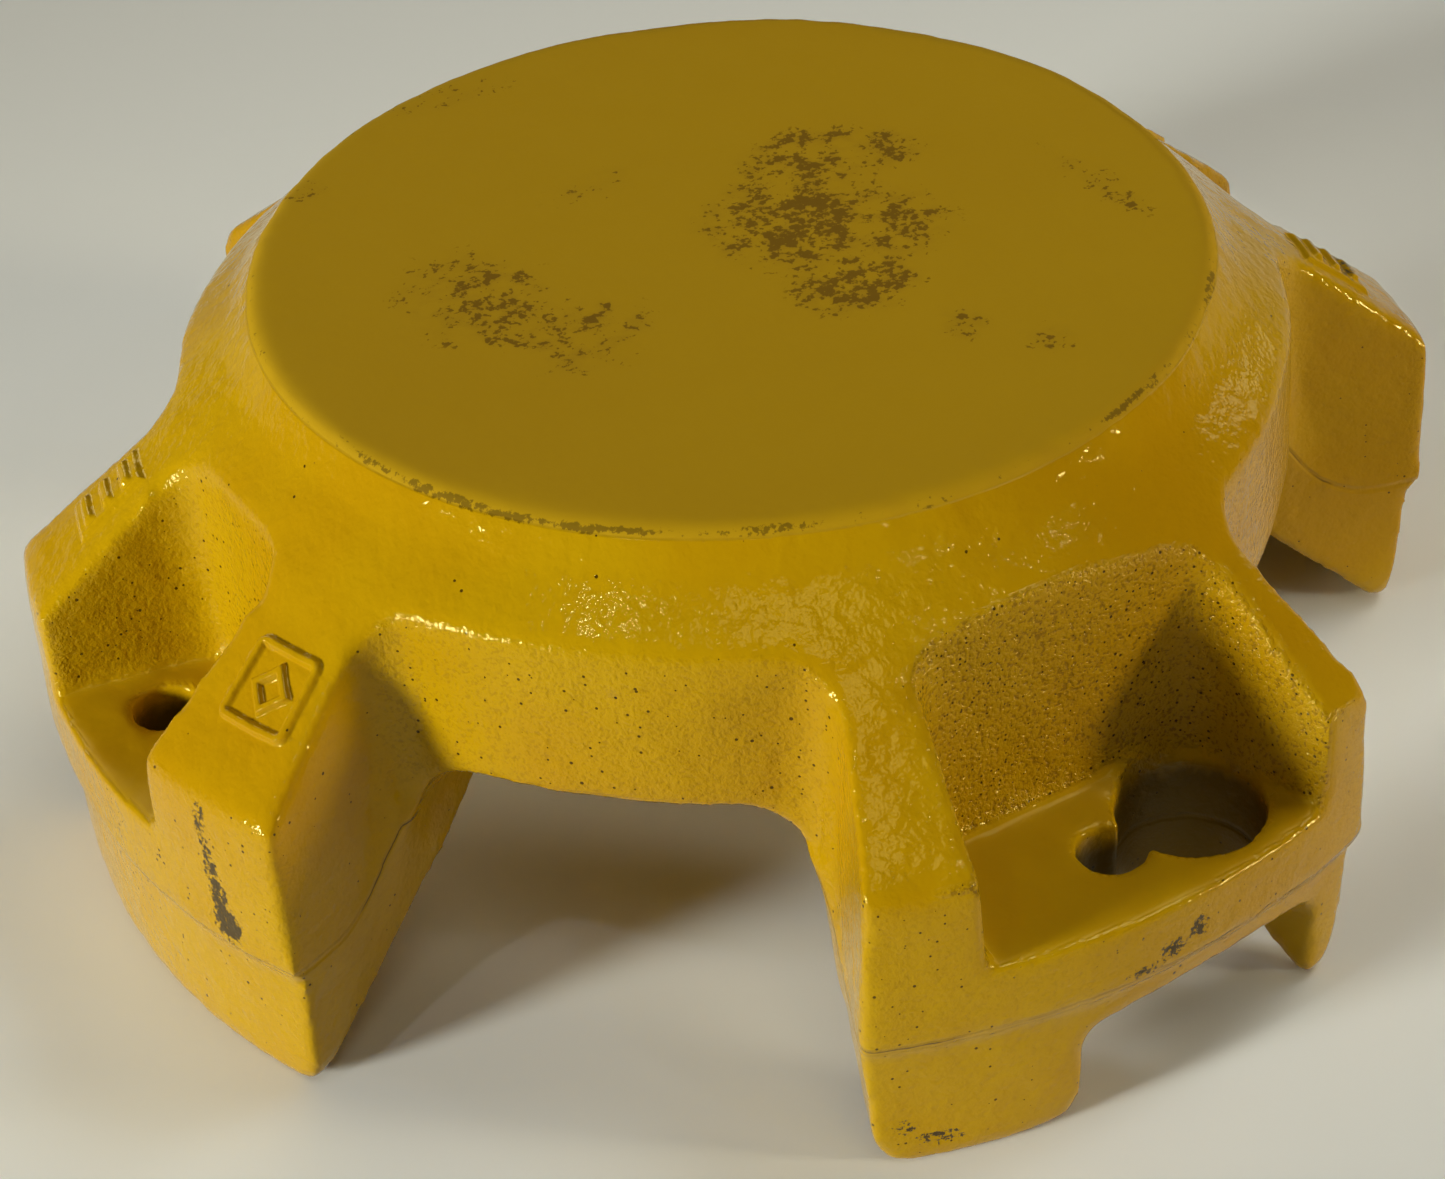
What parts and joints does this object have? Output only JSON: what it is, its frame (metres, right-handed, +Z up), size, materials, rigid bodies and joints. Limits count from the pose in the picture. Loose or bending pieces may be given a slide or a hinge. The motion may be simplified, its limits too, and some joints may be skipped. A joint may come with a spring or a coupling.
{
  "type": "tractor wheel weight",
  "caption": "Cast iron ballast weight for a tractor wheel: raised round cap, conical body, splayed legs with open bolt pockets, painted yellow.",
  "frame": {"origin": "centre of the circle that the feet stand on, at the level of the feet", "axes": "+Z up, out of the cap; the legs with narrow pockets point along -X and +X; the legs with keyholes point within 2 degrees of -Y and +Y"},
  "size_m": [0.4, 0.4, 0.157],
  "materials": {
    "yellow_enamel": "gloss yellow enamel over a rough sand-cast iron surface, scuffed to brown on the cap"
  },
  "bodies": {
    "root": {"weight_casting": "yellow_enamel"}
  },
  "joints": []
}
